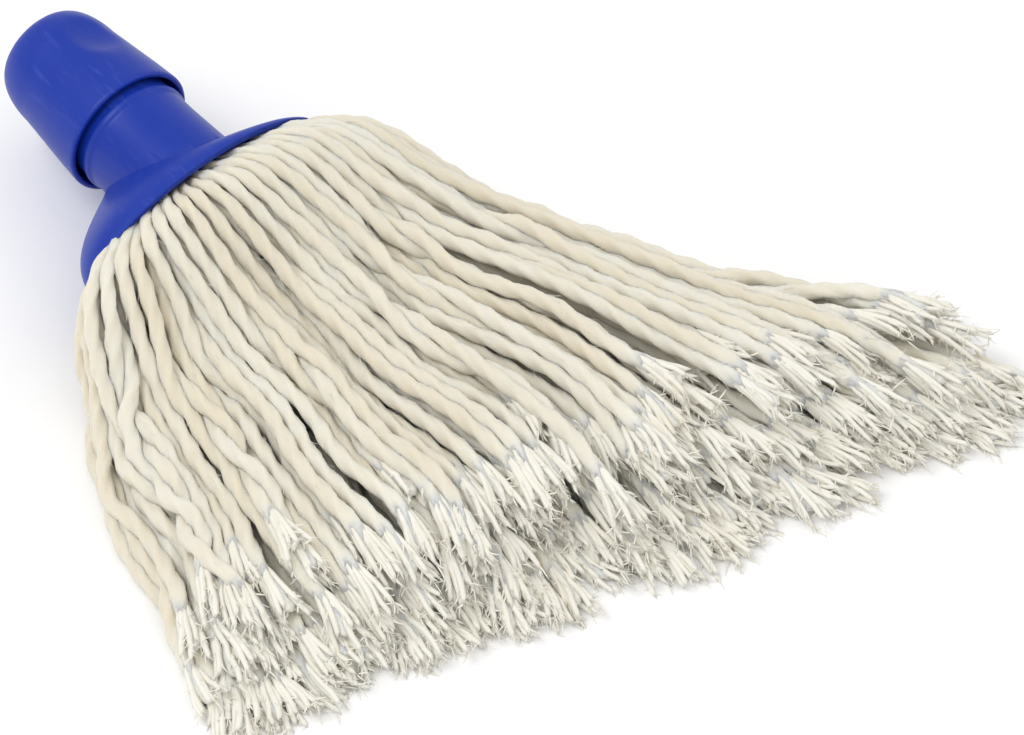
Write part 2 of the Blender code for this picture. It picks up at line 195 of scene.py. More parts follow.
# %% Shader formulas
class Signal:
    """A socket of a node tree that can be added, multiplied and compared like a number."""

    def __init__(self, tree, socket):
        self.tree = tree
        self.socket = socket

    def _maths(self, operation, *values):
        return make_node(self.tree, "ShaderNodeMath", {"operation": operation}, dict(enumerate(values)))

    def __add__(self, other):
        return self._maths("ADD", self, other)

    def __radd__(self, other):
        return self._maths("ADD", other, self)

    def __sub__(self, other):
        return self._maths("SUBTRACT", self, other)

    def __rsub__(self, other):
        return self._maths("SUBTRACT", other, self)

    def __mul__(self, other):
        return self._maths("MULTIPLY", self, other)

    def __rmul__(self, other):
        return self._maths("MULTIPLY", other, self)

    def clamp(self):
        return self._maths("MINIMUM", self._maths("MAXIMUM", self, 0.0), 1.0)


def make_node(tree, kind, settings=None, inputs=None, output=0):
    """One node: settings first, then values or links for its sockets, by name or number."""
    made = tree.nodes.new(kind)
    for name, value in (settings or {}).items():
        setattr(made, name, value)
    for name, value in (inputs or {}).items():
        if isinstance(value, Signal):
            tree.links.new(value.socket, made.inputs[name])
        else:
            made.inputs[name].default_value = value
    return Signal(tree, made.outputs[output])


def blend_colours(tree, share, first, second):
    """A colour between two, by a share from 0 to 1."""
    settings = {"data_type": "RGBA"}
    return make_node(tree, "ShaderNodeMix", settings, {0: share, 6: first, 7: second}, output=2)


def new_finish(name, constants):
    """A material with a Principled shader, and the values that are the same all over it."""
    made = bpy.data.materials.new(name)
    made.use_nodes = True
    shader = made.node_tree.nodes["Principled BSDF"]
    for socket, value in constants.items():
        shader.inputs[socket].default_value = value
    return made, made.node_tree, shader


def feed(tree, shader, socket, signal):
    tree.links.new(signal.socket, shader.inputs[socket])


def object_noise(tree, scale, detail=2.0, roughness=0.5, stretch=(1.0, 1.0, 1.0)):
    """Noise on the piece's own coordinates, in metres, optionally stretched."""
    place = make_node(tree, "ShaderNodeTexCoord", output=3)
    drawn = make_node(tree, "ShaderNodeMapping", None, {"Vector": place, "Scale": stretch})
    inputs = {"Vector": drawn, "Scale": scale, "Detail": detail, "Roughness": roughness}
    return make_node(tree, "ShaderNodeTexNoise", None, inputs)


# %% [markdown]
# The socket is polypropylene, moulded in one blue. It is never one flat colour: the melt leaves
# slow changes of tone, the mould's skin is faintly grained, and handling leaves fine scuffs that
# are a little rougher and paler than the rest.

# %% Blue moulded plastic
def blue_plastic():
    made, tree, shader = new_finish("moulded_blue", {
        "Metallic": 0.0, "IOR": 1.49, "Specular IOR Level": 0.28, "Coat Weight": 0.0,
        "Subsurface Weight": 0.05,
        "Subsurface Radius": (0.3 * MM, 0.5 * MM, 2.0 * MM), "Subsurface Scale": 1.0,
    })
    melt = object_noise(tree, 38.0, 3.0)
    scuffs = object_noise(tree, 420.0, 4.0, 0.6, (1.0, 0.12, 1.0))
    marks = ((scuffs - 0.56) * 6.0).clamp()
    tone = blend_colours(tree, melt, (0.004, 0.027, 0.300, 1.0), (0.009, 0.039, 0.360, 1.0))
    feed(tree, shader, "Base Color", blend_colours(tree, marks * 0.25, tone, (0.08, 0.12, 0.50, 1.0)))
    feed(tree, shader, "Roughness", 0.34 + melt * 0.10 + marks * 0.14)
    grain = object_noise(tree, 2600.0, 2.0)
    bump = {"Strength": 0.10, "Distance": 0.05 * MM, "Height": grain + marks * 0.6}
    feed(tree, shader, "Normal", make_node(tree, "ShaderNodeBump", None, bump))
    return made


def dark_plastic():
    made, tree, shader = new_finish("moulded_black", {"Metallic": 0.0, "IOR": 1.5})
    grain = object_noise(tree, 900.0, 3.0)
    shade = blend_colours(tree, grain, (0.018, 0.018, 0.02, 1.0), (0.035, 0.035, 0.04, 1.0))
    feed(tree, shader, "Base Color", shade)
    feed(tree, shader, "Roughness", 0.42 + grain * 0.2)
    bump = {"Strength": 0.2, "Distance": 0.05 * MM, "Height": grain}
    feed(tree, shader, "Normal", make_node(tree, "ShaderNodeBump", None, bump))
    return made


def plated_steel():
    made, tree, shader = new_finish("plated_steel", {"Metallic": 1.0})
    drawn = object_noise(tree, 700.0, 3.0, 0.6, (1.0, 0.1, 1.0))
    shade = blend_colours(tree, drawn, (0.55, 0.55, 0.56, 1.0), (0.70, 0.70, 0.69, 1.0))
    feed(tree, shader, "Base Color", shade)
    feed(tree, shader, "Roughness", 0.22 + drawn * 0.18)
    return made


plastic_blue = blue_plastic()
plastic_black = dark_plastic()
steel = plated_steel()
print("finishes so far:", [m.name for m in (plastic_blue, plastic_black, steel)])


# %% [markdown]
# Cotton yarn takes its colour from its fibres. Unbleached cotton is cream, and towards the cut end
# the colour is painted paler: painted light that lifts the shade falling among the opened fibres. Two
# numbers ride on the mesh
# for this: "end" runs from 0 at the hood to 1 at the cut end, and "tone" differs for each strand.
# The fibres wind round the strand, so their fine bump follows the strand's own UV map.

# %% Cotton yarn
def cotton(name, fibre_bump, scatter):
    made, tree, shader = new_finish(name, {
        "Metallic": 0.0, "Roughness": 0.95, "Specular IOR Level": 0.15, "Sheen Weight": 0.25,
        "Sheen Roughness": 0.6, "Subsurface Weight": scatter,
        "Subsurface Radius": (3.6 * MM, 2.9 * MM, 1.9 * MM), "Subsurface Scale": 1.0,
    })
    end = make_node(tree, "ShaderNodeAttribute", {"attribute_name": "end"}, output=2)
    tone = make_node(tree, "ShaderNodeAttribute", {"attribute_name": "tone"}, output=2)
    warm = blend_colours(tree, tone, (0.72, 0.66, 0.53, 1.0), (0.76, 0.73, 0.64, 1.0))
    # Painted light: the last fifth of each strand, and its loose fibres, are painted paler to lift the
    # shade among the opened fibres.
    painted_end_lift = ((end - 0.80) * 5.0).clamp()
    body = blend_colours(tree, painted_end_lift * 0.85, warm, (0.87, 0.85, 0.77, 1.0))
    patches = object_noise(tree, 60.0, 3.0)
    stain = ((patches - 0.5) * 2.4).clamp()
    feed(tree, shader, "Base Color", blend_colours(tree, stain * 0.35, body, (0.68, 0.58, 0.41, 1.0)))
    if fibre_bump:
        where = make_node(tree, "ShaderNodeUVMap", {"uv_map": "UVMap"})
        lay = make_node(tree, "ShaderNodeMapping", None, {
            "Vector": where, "Rotation": (0.0, 0.0, 0.02), "Scale": (5.0, 16.0, 1.0),
        })
        fibres = make_node(tree, "ShaderNodeTexNoise", None, {
            "Vector": lay, "Scale": 4.0, "Detail": 4.0, "Roughness": 0.65,
        })
        bump = {"Strength": 0.5, "Distance": 0.35 * MM, "Height": fibres}
        feed(tree, shader, "Normal", make_node(tree, "ShaderNodeBump", None, bump))
    return made


cotton_strand = cotton("cotton_strand", True, 0.6)
cotton_fibre = cotton("cotton_fibre", False, 0.0)
print("yarn finishes:", cotton_strand.name, cotton_fibre.name)


# %% [markdown]
# ## Turned and lofted plastic
# Every part of the socket is a row of rings along the handle's axis, round or oval. It can be
# drawn as a profile and spun, but an oval hood can't. So each shape starts as one ring, which is
# extruded, moved and scaled in edit mode, as a potter raises a wall.

# %% Raising a wall from a ring
ROUND_STEPS = 96


def face_along_axis():
    return (-math.pi / 2, 0.0, 0.0)


def raise_wall(name, rings, closed=False, steps=ROUND_STEPS, x=0.0):
    """A shell through rings of (half width, half height, distance along the axis), in mm."""
    clear_selection()
    wide, high, along = rings[0]
    bpy.ops.mesh.primitive_circle_add(
        vertices=steps, radius=MM, location=on_axis(along * MM, x), rotation=face_along_axis(),
    )
    piece = bpy.context.object
    piece.name = name
    settle_at_origin(piece)
    bpy.ops.object.mode_set(mode="EDIT")
    bpy.ops.mesh.select_all(action="SELECT")
    bpy.ops.transform.resize(value=(wide, 1.0, high), center_override=on_axis(along * MM, x))
    for next_wide, next_high, next_along in rings[1:] + (rings[:1] if closed else []):
        step = {"value": (0.0, (next_along - along) * MM, 0.0)}
        bpy.ops.mesh.extrude_edges_move(TRANSFORM_OT_translate=step)
        grow = (next_wide / wide, 1.0, next_high / high)
        bpy.ops.transform.resize(value=grow, center_override=on_axis(next_along * MM, x))
        wide, high, along = next_wide, next_high, next_along
    if not closed:
        bpy.ops.mesh.edge_face_add()
        bpy.ops.mesh.select_all(action="DESELECT")
        bpy.ops.object.mode_set(mode="OBJECT")
        for vertex in piece.data.vertices[:steps]:
            vertex.select = True
        bpy.ops.object.mode_set(mode="EDIT")
        bpy.ops.mesh.edge_face_add()
    bpy.ops.mesh.select_all(action="SELECT")
    bpy.ops.mesh.remove_doubles(threshold=0.002 * MM)
    bpy.ops.mesh.normals_make_consistent(inside=False)
    bpy.ops.object.mode_set(mode="OBJECT")
    return piece


def turned(name, profile, closed=False, steps=ROUND_STEPS, x=0.0):
    """A round shell from (radius, distance along the axis) points, in mm."""
    return raise_wall(name, [(r, r, along) for r, along in profile], closed, steps, x)


def combine(piece, other, operation):
    """Joins, cuts or crosses a piece with another, which is then removed."""
    step = piece.modifiers.new(other.name, "BOOLEAN")
    step.operation = operation
    step.solver = "EXACT"
    step.object = other
    apply_modifiers(piece)
    bpy.data.objects.remove(other)


def smooth_by_angle(piece, degrees):
    take(piece)
    bpy.ops.object.shade_smooth_by_angle(angle=math.radians(degrees))


def arc_points(centre, radii, start_deg, end_deg, steps):
    """Points on part of an ellipse, both ends included."""
    turn = [math.radians(start_deg + (end_deg - start_deg) * i / steps) for i in range(steps + 1)]
    return [(centre[0] + radii[0] * math.cos(a), centre[1] + radii[1] * math.sin(a)) for a in turn]


def finish_piece(piece, finish, body, slot, *nodes):
    """Gives a piece its finish, the body that it rides on and the nodes that it stands for."""
    piece.data.materials.clear()
    piece.data.materials.append(finish)
    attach(piece, body)
    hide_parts(*nodes)
    print(piece.name, "has", triangles(piece), "triangles")


# %% [markdown]
# ## Locking collar
# The collar is a thick moulded cap that turns by a sixth of a turn to clamp the handle. Its bore
# is round here and leaves out the cam that drives the pads, so the pads reach into it. Its crown is a
# quarter of an ellipse, its skirt flares down over the neck, and a soft oval thumb rest is sunk
# into each side. A Boolean would leave the rest with a knife edge, so the wall's own points are
# pressed in to an egg's surface instead, with a small radius where the two meet.

# %% Collar
CROWN = arc_points((15.0, 31.0), (5.6, 15.6), 90.0, 0.0, 14)
COLLAR_PROFILE = [(12.3, 46.2), (12.6, 46.8), (13.1, 47.0), (14.2, 46.85)] + CROWN[1:]
COLLAR_PROFILE += [(20.6 + 1.1 * i / 11, 31.0 - i) for i in range(1, 12)]
COLLAR_PROFILE += [(21.8, 19.0), (22.0, 17.2), (22.25, 14.5), (22.5, 12.0), (22.7, 10.0), (22.95, 7.0)]
COLLAR_PROFILE += [(23.15, 4.4), (23.35, 2.0), (23.4, 1.2), (23.36, 0.7), (23.15, 0.25), (22.75, 0.02)]
COLLAR_PROFILE += [(22.3, 0.0), (21.8, 0.1), (21.55, 0.45), (21.4, 1.2), (20.9, 13.0)]
COLLAR_PROFILE += [(15.4, 13.0), (15.1, 13.3), (14.9, 13.6), (14.9, 36.0), (16.2, 36.0), (16.2, 38.6)]
COLLAR_PROFILE += [(14.9, 38.6), (14.9, 42.3), (12.3, 42.3)]
THUMB_ANGLES_DEG = (-74.0, 106.0)
THUMB_ALONG = 28.0 * MM
THUMB_EGG_OUT = 29.0 * MM
THUMB_EGG = (10.0 * MM, 24.9 * MM, 17.3 * MM)
THUMB_LEAN = math.radians(-5.0)
THUMB_BLEND = 0.65 * MM
COLLAR_BORE_EDGE = 16.3 * MM
THUMB_HALF_TURN = 1.2


def press_thumb_rest(piece, angle_deg):
    """Presses the outer wall in to an egg beside it, with a softened brim."""
    points = np.array([v.co for v in piece.data.vertices]) - np.array(axis_point)
    radius = np.hypot(points[:, 0], points[:, 2])
    turn = np.arctan2(-points[:, 2], points[:, 0]) - math.radians(angle_deg)
    turn = (turn + math.pi) % (2 * math.pi) - math.pi
    outside = (radius > COLLAR_BORE_EDGE) & (np.abs(turn) < THUMB_HALF_TURN)
    out, side = radius * np.cos(turn) - THUMB_EGG_OUT, radius * np.sin(turn)
    along = points[:, 1] - THUMB_ALONG
    lean_out = out * math.cos(THUMB_LEAN) - along * math.sin(THUMB_LEAN)
    lean_along = out * math.sin(THUMB_LEAN) + along * math.cos(THUMB_LEAN)
    room = 1.0 - (side / THUMB_EGG[1]) ** 2 - (lean_along / THUMB_EGG[2]) ** 2
    egg_face = -THUMB_EGG[0] * np.sqrt(np.clip(room, 0.0, 1.0))
    depth = np.where(room > 0.0, lean_out - egg_face, lean_out - MM * room)
    depth = np.where(outside, depth, -1.0)
    pressed = 0.5 * (depth + np.sqrt(depth ** 2 + THUMB_BLEND ** 2)) - 0.08 * THUMB_BLEND
    fade = np.clip(1.0 + depth / (4.0 * THUMB_BLEND), 0.0, 1.0)
    pressed = np.clip(pressed * fade, 0.0, None)
    share = 1.0 - pressed / np.maximum(radius, MM)
    points[:, 0] *= share
    points[:, 2] *= share
    points += np.array(axis_point)
    piece.data.vertices.foreach_set("co", points.astype(np.float32).ravel())
    piece.data.update()
    return float(pressed.max() / MM)


collar = turned("locking_collar_shell", COLLAR_PROFILE, closed=True, steps=144)
for thumb_angle in THUMB_ANGLES_DEG:
    print("thumb rest pressed", round(press_thumb_rest(collar, thumb_angle), 2), "mm deep")
smooth_by_angle(collar, 40.0)
finish_piece(collar, plastic_blue, "collar", "socket_plastic", "locking_collar")


# %% [markdown]
# ## Socket: neck and hood
# Below the collar the moulding goes on as a round neck with a faint ring, then opens into an oval
# bell, the hood, that holds the yarn. The neck stands askew on the hood, so the crease between
# them slants round it: high on the lower left and low on the upper right. The hood is raised as a
# plain tube of rings, and each ring is then moved to its place between the crease and the oval
# rim. A Boolean joins it to the neck, which leaves the crease as crisp as the mould does.

# %% Hood surface
CREASE_R = 19.6
CREASE_DEPTH = 20.0
CREASE_SLANT = 13.4
CREASE_ANGLE = math.radians(70.0)
RIM_DEPTH = 42.2
RIM_YAW = 0.09
RIM_HALF_WIDTH = 50.5
RIM_HALF_HEIGHT = 25.6
RIM_DROP = 2.0
FLARE_POWER = 1.28
FLARE_ROUND = 0.43
HOOD_WALL = 2.4
HOOD_STEPS = 144


def hood_places(share, angle, top_radius, top_step, inset, rim_step):
    """Places on the hood, in mm from the axis point, from the crease at 0 to the rim at 1."""
    grow = np.sin(share * math.pi / 2) ** FLARE_POWER
    sink = FLARE_ROUND * (1.0 - np.cos(share * math.pi / 2)) + (1.0 - FLARE_ROUND) * share
    top_depth = CREASE_DEPTH + CREASE_SLANT * np.cos(angle - CREASE_ANGLE) + top_step
    rim_x = (RIM_HALF_WIDTH - inset) * np.cos(angle)
    rim_up = (RIM_HALF_HEIGHT - inset) * np.sin(angle) - RIM_DROP
    rim_depth = RIM_DEPTH - RIM_YAW * rim_x + rim_step
    x = top_radius * np.cos(angle) + (rim_x - top_radius * np.cos(angle)) * grow
    up = top_radius * np.sin(angle) + (rim_up - top_radius * np.sin(angle)) * grow
    return np.stack([x, -(top_depth + (rim_depth - top_depth) * sink), up], axis=-1)


def raise_hood(name, rings, top_radius, top_step, inset, rim_step, past_rim=0.0):
    """A tube of rings whose points are then moved out to the hood's surface."""
    piece = turned(name, [(20.0, -float(i)) for i in range(rings)], steps=HOOD_STEPS)
    points = (np.array([v.co for v in piece.data.vertices]) - np.array(axis_point)) / MM
    ring = np.round(-points[:, 1])
    angle = np.arctan2(points[:, 2], points[:, 0])
    last = rings - (2 if past_rim else 1)
    places = hood_places(np.minimum(ring / last, 1.0), angle, top_radius, top_step, inset, rim_step)
    places[:, 1] -= np.where(ring > last, past_rim, 0.0)
    places = places * MM + np.array(axis_point)
    piece.data.vertices.foreach_set("co", places.astype(np.float32).ravel())
    piece.data.update()
    take(piece)
    bpy.ops.object.mode_set(mode="EDIT")
    bpy.ops.mesh.select_all(action="SELECT")
    bpy.ops.mesh.normals_make_consistent(inside=False)
    bpy.ops.object.mode_set(mode="OBJECT")
    return piece


# %% Socket body
neck_profile = [
    (18.4, 12.7), (19.1, 12.6), (19.55, 12.2), (19.7, 11.6), (19.7, -1.0), (19.8, -1.5), (20.1, -1.9),
    (20.4, -2.4), (20.45, -3.3), (20.35, -4.3), (20.0, -4.9), (19.75, -5.4), (19.7, -6.2), (19.7, -12.0),
    (19.8, -16.0), (20.0, -22.0), (20.3, -30.0), (20.5, -36.0),
]
socket = turned("socket_shell", neck_profile, steps=HOOD_STEPS)
combine(socket, raise_hood("hood", 24, CREASE_R, 0.0, 0.0, 0.0), "UNION")
combine(socket, raise_hood("hollow", 22, 17.0, 3.0, HOOD_WALL, 0.4, past_rim=3.0), "DIFFERENCE")
combine(socket, turned("throat", [(17.4, -31.0), (17.4, -37.0)]), "DIFFERENCE")
combine(socket, turned("tube", [(17.4, -8.0), (17.4, -31.0)]), "UNION")
for side_x in (-19.0 * MM, 19.0 * MM):
    combine(socket, turned("boss", [(3.4, -27.5), (3.4, -32.0)], steps=24, x=side_x), "UNION")
    combine(socket, turned("pilot", [(1.6, -28.0), (1.6, -33.0)], steps=16, x=side_x), "DIFFERENCE")
combine(socket, turned("bore", [(14.9, 14.0), (14.9, -37.0)]), "DIFFERENCE")
soften = socket.modifiers.new("soften", "BEVEL")
soften.width = 0.45 * MM
soften.segments = 2
soften.limit_method = "ANGLE"
soften.angle_limit = math.radians(60.0)
apply_modifiers(socket)
smooth_by_angle(socket, 35.0)
finish_piece(socket, plastic_blue, "socket", "socket_plastic", "socket_body")


# %% [markdown]
# ## Handle sleeve and small hardware
# Looking into the collar's mouth shows the sleeve that takes the handle, with a window on each
# side for a clamping pad. It is turned and then cut. The pads, the spring ring, the bar and its
# screws are right as they come from the frame, so they keep their shape and get a real finish.

# %% Handle sleeve and hardware
sleeve_profile = [
    (12.3, -26.0), (12.3, 41.2), (12.5, 41.7), (12.9, 42.0), (14.2, 42.0), (14.5, 41.85), (14.6, 41.5),
    (14.6, 38.6), (13.6, 38.6), (13.6, 36.0), (14.6, 36.0), (14.6, -31.1), (14.5, -31.4), (14.2, -31.5),
]
sleeve = turned("handle_sleeve_shell", sleeve_profile)
clear_selection()
bpy.ops.mesh.primitive_cube_add(size=1.0, location=on_axis(23.5 * MM))
window = bpy.context.object
window.scale = (39.4 * MM, 13.0 * MM, 9.6 * MM)
settle_at_origin(window)
combine(sleeve, window, "DIFFERENCE")
smooth_by_angle(sleeve, 35.0)
finish_piece(sleeve, plastic_black, "socket", "pad_plastic", "handle_sleeve")

HARDWARE = {
    "collar_snap_ring": steel, "yarn_bar_screw_left": steel, "yarn_bar_screw_right": steel,
    "locking_pad_left": plastic_black, "locking_pad_right": plastic_black, "yarn_bar": plastic_black,
}
for node_name, finish in HARDWARE.items():
    node = frame["nodes"][node_name]
    node.data.materials.clear()
    node.data.materials.append(finish)
print("hardware finished:", sorted(HARDWARE))


# %% [markdown]
# ## Yarn: the fan's own map
# The yarn leaves the oval hood as a thick round bundle and lands as a wide flat fan. One map gives
# the place of any strand from three shares: across the fan, along it, and up through it. The solid
# tufts of the frame follow the same map, so each strand starts from the tuft that it stands for.
# It doesn't stay inside it: the strands puff out past the rim, wander, and are pushed by others.

# %% Fan map
TUFT_COLUMNS = 12
TUFT_LAYERS = ("lower", "middle", "upper")
ROOT_DEPTH = 37.6
ROOT_HALF_WIDTH = 43.0
ROOT_WIDTH_SHARE = 0.9
ROOT_HEIGHT_SHARE = 0.64
FAN_X = (-106.0, 188.0)
FAN_DEPTH = (193.0, 258.0)
FAN_POWER = (0.49, 0.84)
LANDING_SHARE = 0.30
FAN_HEIGHTS = (
    (0.0, 19.5), (0.04, 24.5), (0.12, 24.5), (0.28, 22.5), (0.5, 22.0), (0.75, 22.0), (1.0, 10.5),
)
RIGHT_LIFT = 0.11
SIDE_POWER = 2.3
SIDE_SHARE = 0.9
HIDDEN_SHARE = 0.03


def mix(a, b, share):
    return a + (b - a) * share


def ease(share):
    share = np.clip(share, 0.0, 1.0)
    return share * share * (3.0 - 2.0 * share)


def fan_places(across, along, layer):
    """Places in mm from the frame's origin for arrays of the three shares."""
    out = np.maximum(along, 0.0)
    hidden = np.clip(-along / HIDDEN_SHARE, 0.0, 1.0)
    root_x = (2 * across - 1) * ROOT_HALF_WIDTH * mix(1.0, ROOT_WIDTH_SHARE, hidden)
    end_depth = mix(FAN_DEPTH[0], FAN_DEPTH[1], across ** 0.9)
    depth = mix(mix(RIM_DEPTH - RIM_YAW * root_x, end_depth, out), ROOT_DEPTH, hidden)
    spread = out ** mix(FAN_POWER[0], FAN_POWER[1], across)
    x = mix(root_x, mix(FAN_X[0], FAN_X[1], across), spread)
    side = np.clip(1 - SIDE_SHARE * np.abs(2 * across - 1) ** SIDE_POWER, 0.0, 1.0) ** (1 / SIDE_POWER)
    shares, heights = zip(*FAN_HEIGHTS)
    half = np.interp(out, shares, heights) * side * (1 + RIGHT_LIFT * (2 * across - 1))
    half = half * mix(1.0, ROOT_HEIGHT_SHARE, hidden)
    axis_height = axis_point.z / MM
    height = mix(axis_height, half, ease(out / LANDING_SHARE)) + half * (2 * layer - 1)
    return np.stack([axis_point.x / MM + x, axis_point.y / MM - depth, height], axis=-1)


# %% [markdown]
# ## Yarn: one path for each strand
# Six strands make a tuft. In the hood they are stacked two across and three high, and as the fan
# flattens they slide into a row. No two strands lie alike: each has its own length, neighbours
# share a slow wave, every strand adds a smaller wave of its own, and a few wander over others.

# %% Strand paths
STRANDS_PER_TUFT = 6
PATH_POINTS = 64
ROOT_R = 1.95
STRAND_R = 2.5
SHORTEST = {"lower": 0.92, "middle": 0.82, "upper": 0.72}
LONGEST = {"lower": 1.01, "middle": 0.96, "upper": 0.92}
ROW_ORDER = (0, 3, 1, 4, 2, 5)
PUFF = 5.5
PUFF_SHARE = 0.14
STRAY_TUFTS = ("yarn_tuft_upper_12",)
STRAY_REACH = 13.0
dice = np.random.RandomState(1907)

strand_tufts = []
start_across, end_across, start_layer, end_layer, reach = [], [], [], [], []
for level, layer_name in enumerate(TUFT_LAYERS):
    for column in range(TUFT_COLUMNS):
        for strand in range(STRANDS_PER_TUFT):
            stack_side, stack_row = strand % 2, strand // 2
            strand_tufts.append(f"yarn_tuft_{layer_name}_{column + 1:02d}")
            start_across.append((column + (stack_side + 0.5) / 2) / TUFT_COLUMNS)
            end_across.append((column + (ROW_ORDER[strand] + 0.5) / STRANDS_PER_TUFT) / TUFT_COLUMNS)
            start_layer.append((level + (stack_row + 0.5) / 3) / 3)
            end_layer.append((level + (0.3, 0.7)[strand % 2]) / 3)
            reach.append(dice.uniform(SHORTEST[layer_name], LONGEST[layer_name]))
strand_count = len(strand_tufts)
start_across, end_across = np.array(start_across)[:, None], np.array(end_across)[:, None]
start_layer, end_layer = np.array(start_layer)[:, None], np.array(end_layer)[:, None]
end_across = end_across + dice.normal(0.0, 0.011, (strand_count, 1))
wanderers = dice.uniform(size=(strand_count, 1)) < 0.18
end_across = np.clip(end_across + wanderers * dice.normal(0.0, 0.022, (strand_count, 1)), 0.004, 0.996)
end_layer = np.clip(end_layer + dice.normal(0.0, 0.05, (strand_count, 1)), 0.06, 0.94)
reach = np.array(reach)[:, None]

steps = np.linspace(0.0, 1.0, PATH_POINTS)[None, :]
along = mix(-HIDDEN_SHARE, reach, steps)
change = ease(along / 0.45)
across = mix(start_across, end_across, change)
layer = mix(start_layer, end_layer, change)
home = fan_places(across, along, layer)

heading = np.gradient(home, axis=1)
heading /= np.linalg.norm(heading, axis=2, keepdims=True)
sideways = np.cross(heading, np.array([0.0, 0.0, 1.0]))
sideways /= np.linalg.norm(sideways, axis=2, keepdims=True)
free = ease((along + 0.01) / 0.32)
shared_wave = 1.9 * np.sin(2 * math.pi * (2.3 * along + 1.7 * across) + 3.0 * layer)
shared_wave += 0.8 * np.sin(2 * math.pi * (4.1 * along - 3.3 * across) + 5.0 * layer)
own_turn = dice.uniform(0.0, 2 * math.pi, (strand_count, 3))
own_rate = dice.uniform(1.6, 4.2, (strand_count, 3))
own_size = dice.uniform(0.3, 1.1, (strand_count, 3))


def own_wave(i):
    turn = 2 * math.pi * own_rate[:, i:i + 1] * along + own_turn[:, i:i + 1]
    return own_size[:, i:i + 1] * np.sin(turn)


home = home + sideways * ((shared_wave + own_wave(0) + 0.6 * own_wave(1)) * free)[..., None]
home[..., 2] += 1.1 * own_wave(2) * free
puff = np.sin(math.pi * np.clip(along / PUFF_SHARE, 0.0, 1.0))
home[..., 0] += PUFF * (2 * start_across - 1) * puff
home[..., 2] += PUFF * (2 * start_layer - 1) * puff
stray = np.array([tuft in STRAY_TUFTS for tuft in strand_tufts])[:, None]
home[..., 0] += stray * STRAY_REACH * ease((along - 0.45) / 0.45)
home[..., 2] += stray * 0.3 * STRAY_REACH * ease((along - 0.45) / 0.45)
print("strands:", strand_count, "path points:", home.shape[1])


# %% [markdown]
# ## Yarn: letting the strands settle
# Strands press on each other, the floor and the hood. Position-based dynamics is enough to part
# them, and it gives the same answer every time: each round pulls every point a little towards its
# home and down, holds each strand near its length, then pushes touching strands apart. Cotton is
# soft, so packed strands are left squashed a little way into each other.

# %% Settling
SETTLE_ROUNDS = 130
PAIR_ROUNDS = 5
SOFTNESS = 0.93
SINK = 0.10
HOME_PULL = 0.012
STIFFNESS = 0.22
ROOM = STRAND_R * 2 + 1.0
HOOD_ROOM = 0.8
MOUTH_DEPTHS = (37.0, 42.5)
MOUTH_HALF_WIDTHS = (42.0, 48.1)
MOUTH_HALF_HEIGHTS = (17.4, 23.2)


def close_pairs(places, owners):
    """Pairs of points of different strands that are near enough to touch soon."""
    cells = np.floor(places / ROOM).astype(np.int64)
    cells -= cells.min(axis=0) - 1
    wide = cells.max(axis=0) + 2
    key = (cells[:, 0] * wide[1] + cells[:, 1]) * wide[2] + cells[:, 2]
    order = np.argsort(key, kind="stable")
    ranked = key[order]
    firsts, seconds = [], []
    for dx in (-1, 0, 1):
        for dy in (-1, 0, 1):
            for dz in (-1, 0, 1):
                shift = (dx * wide[1] + dy) * wide[2] + dz
                if shift < 0:
                    continue
                low = np.searchsorted(ranked, ranked + shift, "left")
                high = np.searchsorted(ranked, ranked + shift, "right")
                count = high - low
                first = np.repeat(np.arange(len(ranked)), count)
                second = np.arange(count.sum()) - np.repeat(np.cumsum(count) - count, count)
                second += np.repeat(low, count)
                keep = second > first
                firsts.append(order[first[keep]])
                seconds.append(order[second[keep]])
    first, second = np.concatenate(firsts), np.concatenate(seconds)
    keep = owners[first] != owners[second]
    first, second = first[keep], second[keep]
    near = np.linalg.norm(places[first] - places[second], axis=1) < ROOM
    return first[near], second[near]


def keep_in_hood(places, radius):
    """Moves points back inside the hood's oval wall, and no deeper into it than the roots."""
    places[:, 1] = np.minimum(places[:, 1], axis_point.y / MM - ROOT_DEPTH)
    depth = axis_point.y / MM - places[:, 1]
    across = places[:, 0] - axis_point.x / MM
    inside = depth < RIM_DEPTH + 0.5 - RIM_YAW * across
    wide = np.interp(depth, MOUTH_DEPTHS, MOUTH_HALF_WIDTHS) - radius
    high = np.interp(depth, MOUTH_DEPTHS, MOUTH_HALF_HEIGHTS) - radius
    middle = axis_point.z / MM - RIM_DROP * ease((depth - MOUTH_DEPTHS[0]) / 5.0)
    x, z = across / wide, (places[:, 2] - middle) / high
    out = np.where(inside, np.maximum(np.hypot(x, z), 1.0), 1.0)
    places[:, 0] = axis_point.x / MM + x / out * wide
    places[:, 2] = middle + z / out * high


